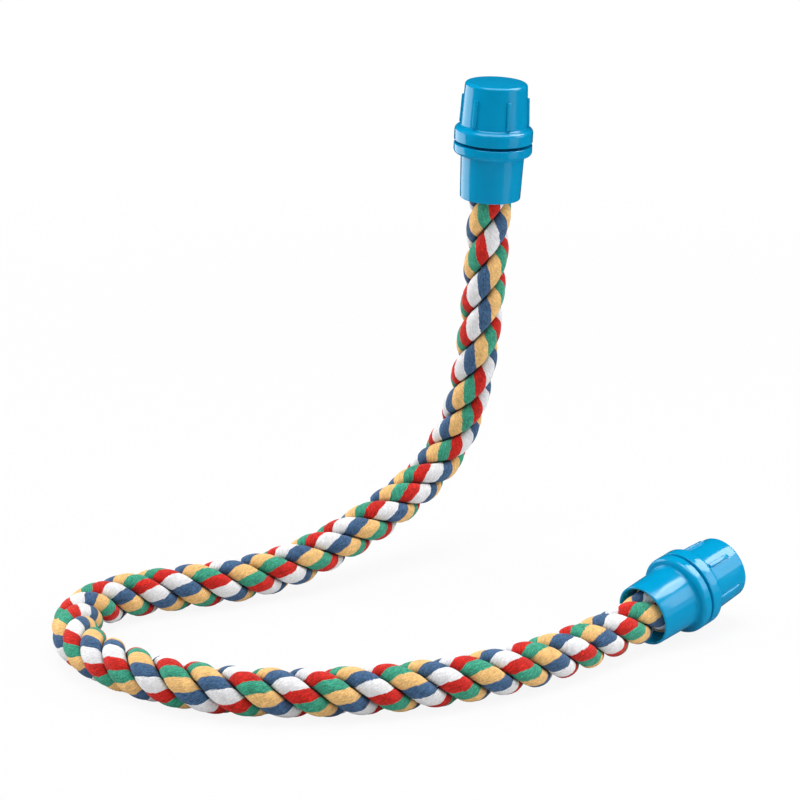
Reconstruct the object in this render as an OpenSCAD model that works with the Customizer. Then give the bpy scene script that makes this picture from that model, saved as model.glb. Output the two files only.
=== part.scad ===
// Bird perch: a three-strand laid rope round a bendable wire, bent in a U.
// Each end sits in a flanged cup, and a screw cap clamps the cage's wires against the cup.
// Millimetres, +Z up, floor at z = 0, origin under the middle of the bent perch.

/* [Rope] */
// Diameter of the laid rope over its strands
rope_d = 16; // [12:0.5:20]
// Diameter of the bendable wire core
wire_d = 2.4; // [1.6:0.1:3.2]
// Least gap between neighbouring strands
strand_gap = 0.3; // [0.2:0.05:0.6]
// Radial clearance of the wire in the rope's heart
wire_clearance = 0.15; // [0.1:0.05:0.5]
// Length of one turn of the lay
lay_length = 36.4; // [30:0.2:50]
// Length of one turn where the lay opens below the upper cup
loose_lay_length = 42.2; // [30:0.2:60]
// Length of rope from the upper cup that keeps the looser lay
loose_run = 104; // [40:2:160]
// Turn of the strands about the rope at the upper cup's mouth
lay_start_angle = -14; // [-180:1:180]

/* [Route] */
// Span that the bent rope is laid out along
route_span = 240; // [210:5:320]
// Lean of the upper cup from upright
upper_lean = 3.6; // [0:0.1:15]
// Heading of that lean, from +X toward +Y
upper_lean_heading = -46; // [-180:1:180]
// Heading of the lower cup along the floor, from +X toward +Y
lower_heading = 42.3; // [30:0.1:55]
// Rise of the lower cup's axis from level
lower_rise = 10.4; // [8:0.1:14]
// Straight lead of the rope out of the upper cup
upper_lead = 24; // [16:1:30]

/* [End cups] */
// Length of a cup from its mouth to the clamping face
cup_len = 20; // [16:0.5:30]
// Outer radius of a cup at its mouth
cup_mouth_r = 10.9; // [10.4:0.1:14]
// Outer radius of a cup where it meets its flange
cup_root_r = 11.4; // [11:0.1:15]
// Wall of a cup at its mouth
cup_mouth_wall = 1.2; // [0.8:0.1:1.8]
// Radius of the bore at the cup's floor
cup_floor_r = 9.3; // [9:0.1:11]
// Thickness of the web that closes the cup
cup_web = 2.2; // [1.5:0.1:4]
// Radius of the clamping flanges
flange_r = 14.1; // [13:0.1:20]
// Thickness of the cup's flange
cup_flange_t = 3.8; // [2.5:0.1:6]
// Rounding of the flange and cup edges
cup_edge_r = 1.5; // [0.8:0.1:1.8]
// Rounding of the cup's lip
cup_lip_r = 0.5; // [0.2:0.1:0.6]
// Fillet between a cup's body and its flange
cup_fillet_r = 0.8; // [0.3:0.1:1.5]

/* [Threaded studs] */
// Crest radius of the stud's thread
stud_r = 5.2; // [4.2:0.1:6.2]
// Length of a stud from the clamping face
stud_len = 18; // [14:0.5:22]
// Radius of the plain neck that passes between the cage's wires
neck_r = 5.6; // [4.8:0.1:6.6]
// Length of the plain neck
neck_len = 3; // [2:0.5:5]
// Radius of the core hole in a stud
stud_core_r = 2.4; // [1.5:0.1:3]
// Depth of the core hole from the stud's end
stud_core_depth = 14; // [8:0.5:18]
// Chamfer on the stud's end
stud_chamfer = 0.7; // [0.3:0.1:1]

/* [Screw caps] */
// Gap that is left between the two flanges
wire_gap = 1; // [0.5:0.1:2.5]
// Length of a cap from its clamping face to its top
cap_len = 21; // [18:0.5:30]
// Outer radius of a cap at its top
cap_top_r = 11.2; // [10.5:0.1:14]
// Outer radius of a cap where it meets its flange
cap_root_r = 11.9; // [11.2:0.1:15]
// Thickness of the cap's flange
cap_flange_t = 5.2; // [3.5:0.1:8]
// Rounding of the cap's flange
cap_flange_edge_r = 1.7; // [0.8:0.1:2]
// Rounding of the cap's top edge
cap_top_edge_r = 1.2; // [0.5:0.1:2]
// Fillet between a cap's body and its flange
cap_fillet_r = 0.8; // [0.3:0.1:1.5]
// Wall of a cap's shell and top
cap_wall = 2.1; // [1.6:0.1:2.8]
// Radial clearance of the stud in the cap's boss
thread_clearance = 0.1; // [0.05:0.01:0.2]
// Wall of the threaded boss inside a cap
boss_wall = 2; // [1.5:0.1:2.4]
// Distance of the boss's mouth beyond the neck's shoulder
boss_setback = 1.4; // [1.1:0.1:3]
// Thickness of the webs that carry the boss
web_t = 1.4; // [1:0.1:2]
// Number of webs that carry the boss
web_count = 4; // [3:1:6]
// Number of grip ribs round a cap
rib_count = 6; // [4:1:12]
// Width of a grip rib
rib_w = 1.5; // [1:0.1:2.5]
// Height of a grip rib over the cap's body
rib_h = 0.7; // [0.4:0.1:1]
// Distance of the ribs' ends below the cap's top
rib_top_gap = 5; // [3:0.5:8]
// Turn of the upper cap's ribs about its axis
upper_rib_angle = 38; // [0:1:60]
// Turn of the lower cap's ribs about its axis
lower_rib_angle = 40; // [0:1:60]

/* [Rope ends] */
// Thickness of the tape wrapped round each rope end
tape_t = 0.6; // [0.3:0.1:0.8]
// Length of the tape wrap
tape_len = 10; // [6:0.5:14]
// Thickness of the glue between the rope's end and the cup's web
glue_t = 2; // [1.5:0.1:4]
// Height of the glue that rises round the tape
glue_skirt = 6; // [2:0.5:8]
// Radial clearance among the rope's end, tape, glue and cup
end_clearance = 0.1; // [0.05:0.01:0.2]
// Length of wire that stands out of the rope into the glue
wire_out = 1.4; // [0.5:0.1:1.5]

/* [Hidden] */

// Facets of round pieces, overrun of cuts
round_fn = 96;
overrun = 0.5;

// Sizes that follow from the ones above
rope_r = rope_d / 2;
wire_r = wire_d / 2;
bore_depth = cup_len - cup_web;
rope_in_cup = bore_depth - glue_t;
cup_bore_mouth_r = cup_mouth_r - cup_mouth_wall;
bore_r = stud_r + thread_clearance;
boss_r = bore_r + boss_wall;
neck_end = neck_len + neck_r - stud_r;
boss_mouth = neck_end + boss_setback;
cap_top = wire_gap + cap_len;
cap_ceiling = cap_top - cap_wall;
tape_r = rope_r + end_clearance + tape_t;

// The lower cup stands on the floor with its flange's rounded edge or its lip, whichever is lower,
// and its straight lead ends where the rope lies on the floor
flange_stand = cup_edge_r + (flange_r - cup_edge_r) * cos(lower_rise)
    - (cup_len - cup_flange_t + cup_edge_r) * sin(lower_rise);
lip_stand = cup_lip_r + (cup_mouth_r - cup_lip_r) * cos(lower_rise) - cup_lip_r * sin(lower_rise);
lower_mouth_z = max(flange_stand, lip_stand);
lower_lead = (lower_mouth_z - rope_r) / sin(lower_rise);

// Route of the rope's heart: control points of a smooth curve, from the upper cup to the lower one,
// in shares of the span, with heights over the height at which the rope lies on the floor
upper_mouth_shares = [0.13, 0.275, 0.5465];
route_shares = [
    [0.113, 0.2915, 0.273], [0.079, 0.3365, 0.128], [-0.0115, 0.252, 0.061],
    [-0.1655, 0.137, 0], [-0.3005, 0.0775, 0], [-0.4355, 0.0355, 0], [-0.477, -0.058, 0],
    [-0.4565, -0.1645, 0], [-0.34, -0.2765, 0], [-0.204, -0.324, 0], [-0.0285, -0.311, 0],
    [0.1575, -0.2455, 0]
];
lower_mouth_shares = [0.341, -0.0715];

// Outward direction of each cup's axis
function heading_vector(polar, heading) =
    [sin(polar) * cos(heading), sin(polar) * sin(heading), cos(polar)];
upper_axis = heading_vector(upper_lean, upper_lean_heading);
lower_axis = heading_vector(90 - lower_rise, lower_heading);

upper_mouth = upper_mouth_shares * route_span + [0, 0, rope_r];
lower_mouth = [lower_mouth_shares.x * route_span, lower_mouth_shares.y * route_span, lower_mouth_z];

control = concat(
    [upper_mouth + upper_axis * upper_lead, upper_mouth, upper_mouth - upper_axis * upper_lead],
    [for (p = route_shares) p * route_span + [0, 0, rope_r]],
    [lower_mouth - lower_axis * lower_lead, lower_mouth, lower_mouth + lower_axis * lower_lead]
);

// Cubic B-spline through the control points, at span i and share u of it
function spline_weights(u) =
    [pow(1 - u, 3), 3 * pow(u, 3) - 6 * u * u + 4, 1 + 3 * (u + u * u - pow(u, 3)), pow(u, 3)] / 6;
function slope_weights(u) =
    [-pow(1 - u, 2), 3 * u * u - 4 * u, 1 + 2 * u - 3 * u * u, u * u] / 2;
function blended(weights, i) =
    weights[0] * control[i] + weights[1] * control[i + 1]
    + weights[2] * control[i + 2] + weights[3] * control[i + 3];
span_count = len(control) - 3;
function span_of(t) = min(floor(t), span_count - 1);
function route_at(t) = blended(spline_weights(t - span_of(t)), span_of(t));
function unit(v) = v / norm(v);
function slope_at(t) = unit(blended(slope_weights(t - span_of(t)), span_of(t)));

// Length along the curve, so that stations can be spaced by length
samples_per_span = 24;
samples = [for (i = [0:span_count * samples_per_span]) route_at(i / samples_per_span)];
lengths = [
    for (i = 0, run = 0; i < len(samples); i = i + 1,
        run = i < len(samples) ? run + norm(samples[i] - samples[i - 1]) : run) run
];
free_length = lengths[len(lengths) - 1];
curve_table = [for (i = [0:len(lengths) - 1]) [lengths[i], i / samples_per_span]];
function parameter_at(s) = lookup(s, curve_table);

// Heart point and direction at length s from the upper mouth, straight on inside the cups
function heart_at(s) =
    s < 0 ? upper_mouth - upper_axis * s
    : s > free_length ? lower_mouth + lower_axis * (s - free_length)
    : route_at(parameter_at(s));
function direction_at(s) =
    s < 0 ? -upper_axis : s > free_length ? lower_axis : slope_at(parameter_at(s));

// Stations along the rope, with a twist-free pair of cross directions at each
rings_per_lay = 10;
ring_step = lay_length / rings_per_lay;
station_count = ceil((free_length + 2 * rope_in_cup) / ring_step) + 1;
stations = [
    for (i = [0:station_count - 1])
        -rope_in_cup + (free_length + 2 * rope_in_cup) * i / (station_count - 1)
];
function squared(v, t) = unit(v - (v * t) * t);
normals = [
    for (i = 0, v = squared([0, -1, 0], direction_at(stations[0])); i < station_count; i = i + 1,
        v = i < station_count ? squared(v, direction_at(stations[i])) : v) v
];
function lay_angle(s) =
    lay_start_angle + 360 * (min(s, loose_run) / loose_lay_length + max(s - loose_run, 0) / lay_length);

// Cross-section of a strand: a lobe outside that the lay's slant widens, flat flanks against its
// neighbours and a hollow where the three strands close round the wire
strand_count = 3;
half_sector = 180 / strand_count;
lobe_share = 0.5;
lobe_r = rope_r * (1 - lobe_share);
lobe_centre = rope_r * lobe_share;
lobe_half_width = lobe_r / cos(atan(2 * PI * lobe_centre / lay_length));
flank_reach = lobe_r * tan(half_sector);
flank_angle = atan2(flank_reach, lobe_half_width)
    + asin(lobe_centre * tan(half_sector) / norm([lobe_half_width, flank_reach]));
lobe_facets = 3;
heart_r = (wire_r + wire_clearance) / cos(half_sector / 2);
flank_shift = [sin(half_sector), -cos(half_sector)] * strand_gap / 2;
function lobe_point(a) = [lobe_centre + lobe_r * cos(a), lobe_half_width * sin(a)];
half_section = concat(
    [for (i = [0:lobe_facets - 1]) lobe_point(flank_angle * i / lobe_facets)],
    [lobe_point(flank_angle) + flank_shift],
    [heart_r * [cos(half_sector), sin(half_sector)] + flank_shift]
);
section = concat(
    half_section,
    [[heart_r, 0]],
    [for (i = [len(half_section) - 1:-1:1]) [half_section[i].x, -half_section[i].y]]
);

// Faces of a tube of rings of n points, the diagonals mirrored so that facing flanks stay parallel
function tube_faces(rings, n) = concat(
    [[for (j = [0:n - 1]) j]],
    [[for (j = [n - 1:-1:0]) (rings - 1) * n + j]],
    [
        for (i = [0:rings - 2]) for (j = [0:n - 1])
            let (a = i * n + j, b = i * n + (j + 1) % n)
            each (j <= n / 2
                ? [[a, a + n, b + n], [a, b + n, b]]
                : [[a, a + n, b], [b, a + n, b + n]])
    ]
);

// One point of a station's ring, at p in the plane square to the rope, turned by angle
function ring_point(s, normal, p, angle) =
    let (t = direction_at(s), side = cross(t, normal))
    heart_at(s)
    + (p.x * cos(angle) - p.y * sin(angle)) * normal
    + (p.x * sin(angle) + p.y * cos(angle)) * side;

module rope_strand(k) {
    points = [
        for (i = [0:station_count - 1]) for (p = section)
            ring_point(stations[i], normals[i], p, lay_angle(stations[i]) + k * 360 / strand_count)
    ];
    color([0.86, 0.74, 0.55])
        polyhedron(points, tube_faces(station_count, len(section)));
}

// The wire runs on past the rope's ends into the glue
wire_sides = 8;
wire_stations = concat(
    [stations[0] - wire_out], stations, [stations[station_count - 1] + wire_out]
);
wire_normals = concat([normals[0]], normals, [normals[station_count - 1]]);
module core_wire() {
    points = [
        for (i = [0:len(wire_stations) - 1]) for (j = [0:wire_sides - 1])
            ring_point(wire_stations[i], wire_normals[i], [wire_r, 0], j * 360 / wire_sides)
    ];
    color([0.62, 0.63, 0.65])
        polyhedron(points, tube_faces(len(wire_stations), wire_sides));
}

// Places children at a cup's mouth, with +Z along the cup's outward axis
module at_upper_mouth() {
    translate(upper_mouth) rotate([0, upper_lean, upper_lean_heading]) children();
}
module at_lower_mouth() {
    translate(lower_mouth) rotate([0, 90 - lower_rise, lower_heading]) children();
}

// Quarter round of an outer corner at c, between two angles
corner_steps = 6;
function corner(c, r, from, to) =
    [for (i = [0:corner_steps]) let (a = from + (to - from) * i / corner_steps)
        c + r * [cos(a), sin(a)]];

// Cup: mouth at z = 0, clamping face at cup_len, threaded stud beyond
module end_cup() {
    flange_z = cup_len - cup_flange_t;
    color([0, 0.62, 0.84])
    difference() {
        rotate_extrude($fn = round_fn)
            polygon(concat(
                [[0, 0], [cup_mouth_r - cup_lip_r, 0]],
                corner([cup_mouth_r - cup_lip_r, cup_lip_r], cup_lip_r, -90, 0),
                corner([cup_root_r + cup_fillet_r, flange_z - cup_fillet_r], cup_fillet_r, 180, 90),
                corner([flange_r - cup_edge_r, flange_z + cup_edge_r], cup_edge_r, -90, 0),
                [[flange_r, cup_len], [neck_r, cup_len], [neck_r, cup_len + neck_len]],
                [[stud_r, cup_len + neck_end], [stud_r, cup_len + stud_len - stud_chamfer]],
                [[stud_r - stud_chamfer, cup_len + stud_len], [0, cup_len + stud_len]]
            ));
        cylinder(h = bore_depth, r1 = cup_bore_mouth_r, r2 = cup_floor_r, $fn = round_fn);
        translate([0, 0, -overrun])
            cylinder(h = overrun * 2, r = cup_bore_mouth_r, $fn = round_fn);
        translate([0, 0, cup_len + stud_len - stud_core_depth])
            cylinder(h = stud_core_depth + overrun, r = stud_core_r, $fn = round_fn);
    }
}

// Grip rib: follows the cap's taper and is let into the flange
module grip_rib() {
    rib_base = wire_gap + cap_flange_t / 2;
    rib_end = cap_top - rib_top_gap;
    intersection() {
        translate([0, -rib_w / 2, rib_base])
            cube([cap_root_r + rib_h, rib_w, rib_end - rib_base]);
        translate([0, 0, rib_base])
            cylinder(h = rib_end - rib_base, r1 = cap_root_r + rib_h, r2 = cap_top_r + rib_h, $fn = round_fn);
    }
}

// Cap: clamping face at wire_gap, hollow shell with a threaded boss on webs inside
module screw_cap(rib_angle) {
    flange_z = wire_gap + cap_flange_t;
    color([0, 0.62, 0.84])
    difference() {
        union() {
            rotate_extrude($fn = round_fn)
                polygon(concat(
                    [[0, wire_gap], [flange_r, wire_gap]],
                    corner([flange_r - cap_flange_edge_r, flange_z - cap_flange_edge_r], cap_flange_edge_r, 0, 90),
                    corner([cap_root_r + cap_fillet_r, flange_z + cap_fillet_r], cap_fillet_r, 270, 180),
                    corner([cap_top_r - cap_top_edge_r, cap_top - cap_top_edge_r], cap_top_edge_r, 0, 90),
                    [[0, cap_top]]
                ));
            for (i = [0:rib_count - 1])
                rotate([0, 0, rib_angle + i * 360 / rib_count]) grip_rib();
        }
        difference() {
            translate([0, 0, wire_gap - overrun])
                cylinder(h = cap_ceiling - wire_gap + overrun, r1 = cap_root_r - cap_wall,
                    r2 = cap_top_r - cap_wall, $fn = round_fn);
            translate([0, 0, boss_mouth])
                cylinder(h = cap_ceiling, r = boss_r, $fn = round_fn);
            for (i = [0:web_count - 1])
                rotate([0, 0, i * 360 / web_count])
                    translate([0, -web_t / 2, boss_mouth])
                        cube([cap_root_r, web_t, cap_ceiling]);
        }
        translate([0, 0, wire_gap])
            cylinder(h = cap_ceiling - wire_gap, r = bore_r, $fn = round_fn);
    }
}

// Tape wrapped round the rope's end, seated on the glue
module end_tape() {
    color([0.9, 0.88, 0.8])
    translate([0, 0, rope_in_cup - tape_len])
        difference() {
            cylinder(h = tape_len, r = tape_r, $fn = round_fn);
            translate([0, 0, -overrun])
                cylinder(h = tape_len + 2 * overrun, r = rope_r + end_clearance, $fn = round_fn);
        }
}

// Glue that fills the cup's floor and rises round the taped rope end, with the wire's end in it
module glue_plug() {
    skirt_z = rope_in_cup - glue_skirt;
    function bore_r_at(z) = cup_bore_mouth_r + (cup_floor_r - cup_bore_mouth_r) * z / bore_depth;
    color([0.93, 0.86, 0.62])
    difference() {
        translate([0, 0, skirt_z])
            cylinder(h = glue_skirt + glue_t, r1 = bore_r_at(skirt_z) - end_clearance,
                r2 = cup_floor_r - end_clearance, $fn = round_fn);
        translate([0, 0, skirt_z - overrun])
            cylinder(h = glue_skirt + overrun, r = tape_r + end_clearance, $fn = round_fn);
        translate([0, 0, rope_in_cup])
            cylinder(h = wire_out, r = wire_r + end_clearance, $fn = round_fn);
    }
}

rope_strand(0);  // rope_strand_1
rope_strand(1);  // rope_strand_2
rope_strand(2);  // rope_strand_3
core_wire();
at_upper_mouth() end_cup();  // upper_end_cup
at_upper_mouth() translate([0, 0, cup_len]) screw_cap(upper_rib_angle);  // upper_screw_cap
at_upper_mouth() end_tape();  // upper_end_tape
at_upper_mouth() glue_plug();  // upper_glue_plug
at_lower_mouth() end_cup();  // lower_end_cup
at_lower_mouth() translate([0, 0, cup_len]) screw_cap(lower_rib_angle);  // lower_screw_cap
at_lower_mouth() end_tape();  // lower_end_tape
at_lower_mouth() glue_plug();  // lower_glue_plug
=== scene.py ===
# %% [markdown]
# # A bendable rope perch with screw-on cage fittings
#
# The perch is a laid cotton rope round a soft steel wire. A blue plastic cup holds each end of the
# rope, and a screw cap clamps the cage's wires against the cup's flange. This lesson dresses the
# exact model: the rope gets its yarns, dye and fibres, and the fittings get their moulded plastic,
# ribs and threads. All lengths are written in millimetres and turned to metres where they are used.

# %% Load the exact model
import math

import bpy
import numpy as np
from mathutils import Matrix, Vector


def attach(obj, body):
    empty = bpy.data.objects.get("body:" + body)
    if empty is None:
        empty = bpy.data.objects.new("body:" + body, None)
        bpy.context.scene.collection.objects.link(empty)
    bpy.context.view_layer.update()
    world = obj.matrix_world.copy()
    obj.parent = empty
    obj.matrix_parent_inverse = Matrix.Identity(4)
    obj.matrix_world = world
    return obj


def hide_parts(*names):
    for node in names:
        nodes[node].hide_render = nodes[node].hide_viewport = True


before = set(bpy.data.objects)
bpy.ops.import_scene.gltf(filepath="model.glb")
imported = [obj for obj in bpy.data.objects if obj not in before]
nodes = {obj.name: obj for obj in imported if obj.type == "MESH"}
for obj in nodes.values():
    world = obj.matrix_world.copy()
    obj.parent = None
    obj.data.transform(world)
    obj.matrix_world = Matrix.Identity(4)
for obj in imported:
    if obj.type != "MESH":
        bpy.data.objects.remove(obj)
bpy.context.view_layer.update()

MM = 0.001
print("exact pieces:", len(nodes))


# %% [markdown]
# ## Colours and materials
#
# A photograph's colours are read as sRGB hex values, but a shader works in linear light, so one
# function turns them. One small helper adds a shader node with its settings and its links, so that
# each material below reads like its recipe. Sockets without a name of their own go by number: in a
# Map Range node, 0 is the value, 1 to 2 is the range it comes from and 3 to 4 the one it goes to,
# and in a Mix node of colours 6 and 7 are the two colours.

# %% Helpers for the materials
def linear(hex_colour):
    """The linear colour that a shader needs for an sRGB hex value."""
    channels = [int(hex_colour[i:i + 2], 16) / 255 for i in (1, 3, 5)]
    return tuple(c / 12.92 if c <= 0.04045 else ((c + 0.055) / 1.055) ** 2.4 for c in channels) + (1.0,)


def add_node(owner, kind, inputs=None, **settings):
    """Adds a shader node to a material or world; an input is a value, or a socket to link from."""
    node = owner.node_tree.nodes.new(kind)
    for name, value in settings.items():
        setattr(node, name, value)
    for socket, value in (inputs or {}).items():
        if isinstance(value, bpy.types.NodeSocket):
            owner.node_tree.links.new(value, node.inputs[socket])
        else:
            node.inputs[socket].default_value = value
    return node


def new_material(name):
    """An empty material, to be filled node by node."""
    material = bpy.data.materials.new(name)
    material.use_nodes = True
    material.node_tree.nodes.clear()
    return material


def finish_material(material, shader):
    """Joins the finished shader to the material's output."""
    add_node(material, "ShaderNodeOutputMaterial", {"Surface": shader.outputs[0]})
    print("material:", material.name, "with", len(material.node_tree.nodes), "nodes")
    return material


# %% [markdown]
# ## Camera
#
# The photograph was taken with a long lens from a little above. Its place was solved from the rope's
# grooves and the rims of the fittings: the lens looks down by about 17 degrees, 0.85 m away.

# %% Camera
LOOK_DOWN_DEG = 16.73
CAMERA_AT = (-1.2, -783.3, 318.2)
FOCAL_SHARE = 2402 / 800

camera_data = bpy.data.cameras.new("photo_camera")
camera_data.sensor_width = 36
camera_data.lens = FOCAL_SHARE * camera_data.sensor_width
camera_data.clip_start = 0.01
camera_data.clip_end = 50
camera = bpy.data.objects.new("photo_camera", camera_data)
camera.location = Vector(CAMERA_AT) * MM
camera.rotation_euler = (math.radians(90 - LOOK_DOWN_DEG), 0, 0)
bpy.context.scene.collection.objects.link(camera)
bpy.context.scene.camera = camera
print("lens", round(camera_data.lens, 1), "mm")

# %% [markdown]
# ## The rope's route
#
# The strands and the plastic fittings all sit on one curve, the heart of the rope. It is the same
# smooth curve as in the exact model, a cubic B-spline through a few given points, so each new
# piece lands exactly on the solid that it stands for. Along it runs a pair of cross directions that
# never twist, and the lay of the rope is then an angle that grows with length.

# %% Sizes of the rope and its route
ROPE_R = 8.0
SPAN = 240.0
UPPER_LEAD = 24.0
CUP_LEN, CUP_EDGE, CUP_FLANGE_T, FLANGE_R = 20.0, 1.5, 3.8, 14.1
CUP_MOUTH_R, CUP_LIP = 10.9, 0.5
ROPE_IN_CUP = 15.8
UPPER_LEAN, UPPER_HEADING = 3.6, -46.0
LOWER_RISE, LOWER_HEADING = 10.4, 42.3
LAY, LOOSE_LAY, LOOSE_RUN, LAY_START = 36.4, 42.2, 104.0, -14.0

# the route's points as shares of the perch's span, from the upper mouth to the lower one
UPPER_SHARES = (0.13, 0.275, 0.5465)
ROUTE_SHARES = (
    (0.113, 0.2915, 0.273), (0.079, 0.3365, 0.128), (-0.0115, 0.252, 0.061),
    (-0.1655, 0.137, 0), (-0.3005, 0.0775, 0), (-0.4355, 0.0355, 0), (-0.477, -0.058, 0),
    (-0.4565, -0.1645, 0), (-0.34, -0.2765, 0), (-0.204, -0.324, 0), (-0.0285, -0.311, 0),
    (0.1575, -0.2455, 0),
)
LOWER_SHARES = (0.341, -0.0715)
print("rope", 2 * ROPE_R, "mm thick over a span of", SPAN, "mm")


# %% The control points
def heading_vector(polar, heading):
    """A direction that leans by polar from straight up, towards heading in the plan (degrees)."""
    p, h = math.radians(polar), math.radians(heading)
    return np.array([math.sin(p) * math.cos(h), math.sin(p) * math.sin(h), math.cos(p)])


upper_axis = heading_vector(UPPER_LEAN, UPPER_HEADING)
lower_axis = heading_vector(90 - LOWER_RISE, LOWER_HEADING)
on_floor = np.array([0, 0, ROPE_R])
upper_mouth = np.array(UPPER_SHARES) * SPAN + on_floor
# the lower fitting lies on its flange's edge, or on its lip, whichever holds it higher
rise = math.radians(LOWER_RISE)
flange_stand = (CUP_EDGE + (FLANGE_R - CUP_EDGE) * math.cos(rise)
                - (CUP_LEN - CUP_FLANGE_T + CUP_EDGE) * math.sin(rise))
lip_stand = CUP_LIP + (CUP_MOUTH_R - CUP_LIP) * math.cos(rise) - CUP_LIP * math.sin(rise)
lower_mouth_z = max(flange_stand, lip_stand)
lower_mouth = np.array([LOWER_SHARES[0] * SPAN, LOWER_SHARES[1] * SPAN, lower_mouth_z])
# the rope leaves the lower cup straight until its heart is down to where it lies on the floor
lower_lead = (lower_mouth_z - ROPE_R) / math.sin(rise)
control = np.vstack(
    [upper_mouth + upper_axis * UPPER_LEAD, upper_mouth, upper_mouth - upper_axis * UPPER_LEAD]
    + [np.array(p) * SPAN + on_floor for p in ROUTE_SHARES]
    + [lower_mouth - lower_axis * lower_lead, lower_mouth, lower_mouth + lower_axis * lower_lead]
)
print("control points:", len(control))


# %% The curve and the frames along it
def spline(points, per_span=200):
    """Points and directions of the smooth curve through given control points."""
    t = np.linspace(0, 1, per_span, endpoint=False)[:, None]
    places, slopes = [], []
    for a, b, c, d in zip(points, points[1:], points[2:], points[3:]):
        places.append(((1 - t) ** 3 * a + (3 * t**3 - 6 * t**2 + 4) * b
                       + (1 + 3 * t + 3 * t**2 - 3 * t**3) * c + t**3 * d) / 6)
        slopes.append((-((1 - t) ** 2) * a + (3 * t**2 - 4 * t) * b
                       + (1 + 2 * t - 3 * t**2) * c + t**2 * d) / 2)
    a, b, c, d = points[-4:]
    places.append(((b + 4 * c + d) / 6)[None])
    slopes.append(((d - b) / 2)[None])
    places, slopes = np.vstack(places), np.vstack(slopes)
    return places, slopes / np.linalg.norm(slopes, axis=1)[:, None]


curve, slope = spline(control)
curve_s = np.concatenate([[0], np.cumsum(np.linalg.norm(np.diff(curve, axis=0), axis=1))])
FREE_LENGTH = curve_s[-1]


def frames_along(s):
    """Heart point, direction and the two cross directions at lengths s from the upper mouth."""
    heart = np.stack([np.interp(s, curve_s, curve[:, i]) for i in range(3)], -1)
    along = np.stack([np.interp(s, curve_s, slope[:, i]) for i in range(3)], -1)
    before, after = s < 0, s > FREE_LENGTH
    heart[before] = upper_mouth - upper_axis * s[before][:, None]
    heart[after] = lower_mouth + lower_axis * (s[after] - FREE_LENGTH)[:, None]
    along[before], along[after] = -upper_axis, lower_axis
    along /= np.linalg.norm(along, axis=1)[:, None]
    across = np.empty_like(along)
    v = np.array([0.0, -1.0, 0.0])
    for i, t in enumerate(along):
        v = v - (v @ t) * t
        v /= np.linalg.norm(v)
        across[i] = v
    return heart, along, across, np.cross(along, across)


def lay_turns(s):
    """How many turns the lay has made at length s; it is looser near the upper cup."""
    return np.minimum(s, LOOSE_RUN) / LOOSE_LAY + np.maximum(s - LOOSE_RUN, 0) / LAY


print("free rope", round(FREE_LENGTH, 1), "mm, turns of lay", round(float(lay_turns(FREE_LENGTH)), 1))

# %% [markdown]
# ## The laid strands
#
# Each strand is itself a twist of five dyed yarn bundles: white, red, green, tan and blue. The twist
# runs against the lay, which is why the stripes come out nearly in line with the rope. A curve with
# a bevel can't carry that, so the strand is made as a grid: one row of points per step along the
# rope, and columns that follow the yarns. The section is a round lobe outside, flat where it presses
# on its neighbours, and hollow round the wire. Each bundle stands up as a soft ridge of its own.

# %% The strand's section and its bundles
STRANDS, BUNDLES = 3, 5
LOBE_R, LOBE_CENTRE = 4.0, 4.0
# a strand crosses the rope's section at a slant, so its round is cut a little wide
LOBE_WIDTH = LOBE_R / math.cos(math.atan(2 * math.pi * LOBE_CENTRE / LAY))
# the flats that press on the two neighbours and the wire, and how crisply they meet the round
FLANK, FLANK_DEG, HEART = 3.38, 150, 2.55
CORNER_SHARPNESS, LEAST_COSINE, OUT_OF_REACH = 14.0, 0.2, 99.0
# where each bundle ends, counted in bundles round the strand, and the height of its ridge
BUNDLE_EDGES = (0.55, 1.5, 2.42, 3.47, 4.45)
BUNDLE_DEG = 360 / BUNDLES
RIDGE, RIDGE_FULLNESS = 0.28, 2.6
# turns of the bundles for one turn of the lay, and the small departures read along each strand
YARN_TWIST = 2.6
TURN_STATIONS = (0, 70, 140, 210, 280, 350, 420, 514)
YARN_TURN_DEG = (
    (-60, -50, -105, -135, -145, -160, -170, -155),
    (15, 30, -5, -10, -30, 0, 30, 65),
    (-45, -30, -70, -85, -85, -60, -40, 25),
)
# on the rope's front the stripes lie a little straighter: the turn eases there and catches up behind
EASE_DEG = 17
FRONT = np.array([0.0, -0.93, 0.37])
COLUMNS, RING_STEP = 90, 0.8
# how far and how slowly a bundle's edge wanders (in bundles) and its height (in mm)
EDGE_SEED, EDGE_WANDER = 40, (0.035, 9.0)
HEIGHT_SEED, HEIGHT_WANDER, BUNDLE_SPREAD, RISE_SHARE = 70, (0.06, 6.0), 0.5, 0.4
# painted groove shade starts this far round from the outside and is full this much later
GROOVE_SHADE_FROM_DEG, GROOVE_SHADE_OVER_DEG = 97, 18


def section_radius(angle):
    """Radius of the strand's section about its own centre; angle 0 points away from the heart."""
    a = np.abs((angle + np.pi) % (2 * np.pi) - np.pi)
    reach = [1 / np.hypot(np.cos(a) / LOBE_R, np.sin(a) / LOBE_WIDTH)]
    for size, normal in ((FLANK, math.radians(FLANK_DEG)), (HEART, math.pi)):
        c = np.cos(a - normal)
        reach.append(np.where(c > LEAST_COSINE, size / np.maximum(c, LEAST_COSINE), OUT_OF_REACH))
    return sum(r ** -CORNER_SHARPNESS for r in reach) ** (-1 / CORNER_SHARPNESS)


def bundle_ridge(u):
    """Height of the surface at bundle coordinate u, from 0 in the valleys to 1 on the ridges."""
    edges = np.array(BUNDLE_EDGES)
    low = np.concatenate([[edges[-1] - BUNDLES], edges])
    high = np.concatenate([edges, [edges[0] + BUNDLES]])
    i = np.searchsorted(edges, u % BUNDLES, side="right")
    t = (u % BUNDLES - low[i]) / (high[i] - low[i])
    return 1 - np.abs(2 * t - 1) ** RIDGE_FULLNESS


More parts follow.
